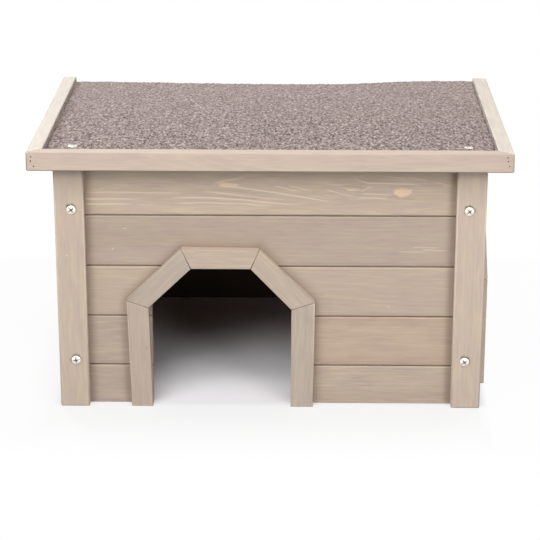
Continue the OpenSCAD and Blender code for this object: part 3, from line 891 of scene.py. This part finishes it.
def makeFelt():
    low = Vector((-roofHalf + edgeWide + felt["gap"], edgeWide + felt["gap"], roof["deck"]))
    high = Vector((roofHalf - edgeWide - felt["gap"], roofLong, roof["deck"] + roof["felt"]))
    size = high - low
    bm = bmesh.new()
    bmesh.ops.create_grid(bm, x_segments=felt["columns"], y_segments=felt["rows"], size=0.5)
    move(bm, Matrix.Translation((0, (low.y + high.y) / 2, high.z)) @ Matrix.Diagonal((size.x, size.y, 1, 1)))
    near = felt["nearEdge"]
    for vert in bm.verts:
        x, y, _ = vert.co
        back = max(0, (y - low.y) / size.y)
        torn = sum(by * noise.noise(Vector((x * scale, layer, 0))) for by, scale, layer in felt["tears"])
        pull = felt["bow"] * max(0, 1 - (x / felt["bowHalf"]) ** 2) - felt["tear"] * (torn - felt["tornIn"])
        vert.co.y -= pull * back ** near["pull"]
        speck, lump = (by * noise.noise(Vector((x * scale, y * scale, layer)))
                       for by, scale, layer in (felt["grain"], felt["clump"]))
        vert.co.z += speck + lump - felt["curl"] * back ** near["curl"] - felt["sink"]
        vert.co.z += sum(by * smooth(x, *span) for by, *span in felt["lifts"]) * back ** near["lift"]
    rim = bmesh.ops.extrude_edge_only(bm, edges=[e for e in bm.edges if e.is_boundary])["geom"]
    for vert in rim:
        if isinstance(vert, bmesh.types.BMVert):
            vert.co.z = low.z
    closeUp(bm)
    move(bm, roofFrame)
    return putPiece(bm, "roof_felt", "roof_felt")


mineralFelt(makeFelt(), felt["look"])
print("roof built")

# pan-head screws with a cross recess: narrow arms, and a deeper socket in the middle
# turns in degrees: low left, high left, low right, high right
screw = dict(head=0.005, high=0.0026, rim=0.35, under=0.97, shank=0.00225, long=0.040, tip=0.0045, steps=40,
             domeSteps=8,
             arms=dict(reach=0.0044, wide=0.0012, deep=0.0010, taper=0.95, shy=0.00012),
             socket=dict(reach=0.0027, wide=0.0017, deep=0.0022, taper=0.5, shy=0.0001),
             turns=(10, 38, 34, 42), sunk=0.0006, roofTurns=(38, 47, 52, 41),
             roofSunk=(0.0018, 0.0024, 0.0019, 0.0019))
plating = dict(cloud=((900, 900, 900), 3.0), clouds=(0.35, 0.7), darker=0.86, spangle=1400.0, bump=0.12,
               relief=0.0002, rougher=0.2)


def zinc(name, tone, rough):
    material, tree = newMaterial(name)
    spot = put("TexCoord", tree=tree).outputs["Object"]
    cloud = stretched(spot, *plating["cloud"])
    spangle = put("TexVoronoi", {"Vector": spot, "Scale": plating["spangle"]}).outputs["Distance"]
    darker = (c * plating["darker"] for c in tone)
    colour = blend(ramp(cloud, *plating["clouds"]), shade(*tone), shade(*darker))
    finishMaterial(spangle, plating["bump"], plating["relief"], {
        "Base Color": colour, "Roughness": scaled(cloud, plating["rougher"], rough), "Metallic": 1.0})
    return material


def crossTool(recess, high):
    reach, wide = recess["reach"], recess["wide"] / 2
    cross = [(reach, -wide), (reach, wide), (wide, wide)]
    for _ in range(3):
        cross += [(-y, x) for x, y in cross[-3:]]
    tool = outlineBlock([(x, y, high + mm) for x, y in cross], (0, 0, -mm - recess["deep"]))
    for vert in tool.verts:
        if vert.co.z < high:
            vert.co.xy *= recess["taper"]
    return tool


def makeScrewMesh():
    head, high, shank = screw["head"], screw["high"], screw["shank"]
    arms, socket = screw["arms"], screw["socket"]
    side = high * screw["rim"]
    dome = [(head * cos(a), side + (high - side) * sin(a))
            for a in (pi / 2 * k / screw["domeSteps"] for k in range(screw["domeSteps"] + 1))]
    outline = [(0, -screw["long"]), (shank, -screw["long"] + screw["tip"]), (shank, 0),
               (head * screw["under"], 0), *dome]
    bm = bmesh.new()
    verts = [bm.verts.new((x, 0, z)) for x, z in outline]
    rim = [bm.edges.new(pair) for pair in zip(verts, verts[1:])]
    bmesh.ops.spin(bm, geom=[*verts, *rim], cent=(0, 0, 0), axis=(0, 0, 1), angle=2 * pi,
                   steps=screw["steps"], use_merge=True)
    clean(bm)
    for face in bm.faces:
        face.smooth = face.calc_center_median().z > side
    blank = newObject(bm, "panHeadScrew")
    for recess in (arms, socket):
        carve(blank, crossTool(recess, high))
    made = blank.data
    bpy.data.objects.remove(blank)
    # painted shade: faces in the arms and the deeper socket take darker finishes
    for face in made.polygons:
        away = face.center.xy.length
        surface = side + (high - side) * sqrt(max(0, 1 - (away / head) ** 2))
        sunk = face.center.z > 0 and away < arms["reach"] and face.center.z < surface - arms["shy"]
        deep = face.center.z < high - arms["deep"] - socket["shy"] and away < socket["reach"]
        face.material_index = (2 if deep else 1) if sunk else 0
    return made


screwMesh = makeScrewMesh()
zincBright = zinc("brightZinc", (242, 238, 228), 0.34)
# armZinc and socketZinc: darker copies of the zinc, painted shade in the cross recess
zincArm = zinc("armZinc", (196, 188, 178), 0.42)
zincSocket = zinc("socketZinc", (104, 96, 88), 0.42)
zincDull = zinc("weatheredZinc", (234, 228, 220), 0.42)
corners = [(side * screwAt["x"], up) for side in (-1, 1) for up in (False, True)]


def putScrews(node, places, metal):
    bm = bmesh.new()
    for turn, place in places:
        one = screwMesh.copy()
        one.transform(place @ Matrix.Rotation(radians(turn), 4, "Z"))
        bm.from_mesh(one)
        bpy.data.meshes.remove(one)
    piece = putPiece(bm, node, "screws")
    for finish in (metal, zincArm, zincSocket):
        piece.data.materials.append(finish)


def onWall(y, wallTop, facing):
    for turn, (x, up) in zip(screw["turns"], corners):
        height = wallTop - screwAt["drop"] if up else screwAt["low"]
        yield turn, Matrix.Translation((x, y, height)) @ Matrix.Rotation(facing, 4, "X")


def onRoof():
    for turn, sunk, (x, up) in zip(screw["roofTurns"], screw["roofSunk"], corners):
        along = (roof["reach"] + screwAt["roofBack" if up else "roofFront"]) / cos(roof["pitch"])
        yield turn, roofFrame @ Matrix.Translation((x, along, roof["deck"] + roof["felt"] - sunk))


putScrews("front_wall_screws", onWall(house["front"] + screw["sunk"], house["wallTop"], pi / 2), zincBright)
putScrews("back_wall_screws", onWall(house["back"] - screw["sunk"], backTop, -pi / 2), zincBright)
putScrews("roof_screws", onRoof(), zincDull)

# brads stay as the frame has them, in dull steel
bradSteel = zinc("dullBrad", (78, 66, 56), 0.5)
for node in ("wall_brads", "doorway_brads", "edging_brads"):
    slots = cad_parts[node].data.materials
    slots.clear()
    slots.append(bradSteel)
print("screws and brads built")

# floor, light and camera. The floor is darker under the house, painted shade that deepens towards the back,
# and white further out
# sides: which, start and end of the fade, and how white it gets
stage = dict(floor=14.0, cells=24, half=0.225, depth=(-0.153, 0.17), fade=0.012, tight=0.006, spread=0.16,
             # under, deep, deepFrom and deepTo: the painted shade and tint of the floor inside the house,
             # from the doorway to the back
             under=(0.995, 0.968, 1.0, 1), deep=(0.67, 0.56, 0.58, 1), deepFrom=-0.03, deepTo=0.14,
             around=(0.15, 0.15, 0.16, 1), pale=(0.66, 0.66, 0.66, 1), glow=0.73,
             sides=((-1, -0.02, 0.05, 0.93), (1, -0.006, 0.012, 0.965)),
             white=(1, 1, 1, 1), sky=0.01, aim=(0, -0.1, 0.12), away=3.0, size=1.0)
# azimuth from the front and elevation in degrees, then power
softboxes = dict(front=(-12, 39, 27.5), frontHigh=(12, 56, 19), left=(-35, 24, 16.5), leftHigh=(-35, 56, 18),
                 leftLow=(-60, 8, 11), right=(35, 24, 16.5), rightLow=(35, 8, 11), rightHigh=(50, 56, 7),
                 rightSide=(60, 8, 7), overhead=(0, 90, 9), backLeft=(-150, 20, 60), backRight=(140, 50, 20))


def makeFloor():
    bm = bmesh.new()
    bmesh.ops.create_grid(bm, x_segments=stage["cells"], y_segments=stage["cells"], size=stage["floor"] / 2)
    floor = newObject(bm, "floor")
    floor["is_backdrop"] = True
    material, tree = newMaterial("paleFloor")
    x, y, _ = parts(put("TexCoord", tree=tree).outputs["Object"])
    front, back = stage["depth"]
    awaySide = minus(calc("ABSOLUTE", x), stage["half"])
    awayFront = minus(front, y)
    awayBack = minus(y, back)
    outside = most(ramp(most(awaySide, awayFront), -stage["fade"], stage["fade"]),
                   ramp(awayBack, -stage["tight"], stage["tight"]))
    ray = put("LightPath", tree=tree).outputs
    seen = most(ray["Is Camera Ray"], most(ray["Is Glossy Ray"], ray["Is Transmission Ray"]))
    whiter = ramp(most(awayFront, awayBack), 0.0, stage["spread"], stage["glow"], 1.0)
    for side, start, end, whitest in stage["sides"]:
        beside = scaled(x, side, -stage["half"])
        whiter = most(whiter, ramp(beside, start, end, stage["glow"], whitest))
    share = times(times(seen, outside), whiter)
    # painted shade: inside the house the floor blends from near white to a darker pink towards the back
    inner = blend(ramp(y, stage["deepFrom"], stage["deepTo"]), stage["under"], stage["deep"])
    colour = blend(outside, inner, blend(seen, stage["around"], stage["pale"]))
    matte = put("BsdfDiffuse", {"Color": colour}).outputs[0]
    glow = put("Emission", {"Color": stage["white"], "Strength": 1.0}, tree=tree).outputs[0]
    mixed = put("MixShader", {0: share, 1: matte, 2: glow}).outputs[0]
    put("OutputMaterial", {"Surface": mixed})
    floor.data.materials.append(material)


def makeLight():
    world = bpy.data.worlds.new("softSky")
    scene.world = world
    world.use_nodes = True
    tree = world.node_tree
    tree.nodes.clear()
    ray = put("LightPath", tree=tree).outputs
    seen = most(ray["Is Camera Ray"], ray["Is Glossy Ray"])
    strength = ramp(seen, 0.0, 1.0, stage["sky"], 1.0)
    sky = put("Background", {"Color": stage["white"], "Strength": strength}).outputs[0]
    put("OutputWorld", {"Surface": sky})
    for name, (azimuth, elevation, power) in softboxes.items():
        lamp = bpy.data.lights.new(name + "Softbox", "AREA")
        lamp.size = stage["size"]
        lamp.energy = power
        softbox = bpy.data.objects.new(lamp.name, lamp)
        level = cos(radians(elevation))
        way = Vector((sin(radians(azimuth)) * level, -cos(radians(azimuth)) * level, sin(radians(elevation))))
        softbox.location = Vector(stage["aim"]) + way * stage["away"]
        softbox.rotation_euler = (-way).to_track_quat("-Z", "Y").to_euler()
        scene.collection.objects.link(softbox)


camera = dict(lens=143.68, sensor=36, at=(0.03014, -2.28208, 0.9597), down=20.737, swing=0.817)


def makeCamera():
    data = bpy.data.cameras.new("photoCamera")
    data.lens = camera["lens"]
    data.sensor_width = camera["sensor"]
    eye = bpy.data.objects.new("photoCamera", data)
    eye.location = camera["at"]
    eye.rotation_euler = (radians(90 - camera["down"]), 0, radians(camera["swing"]))
    scene.collection.objects.link(eye)
    scene.camera = eye


makeFloor()
makeLight()
makeCamera()
scene.view_settings.view_transform = "Standard"
print("stage set")

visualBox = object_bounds()
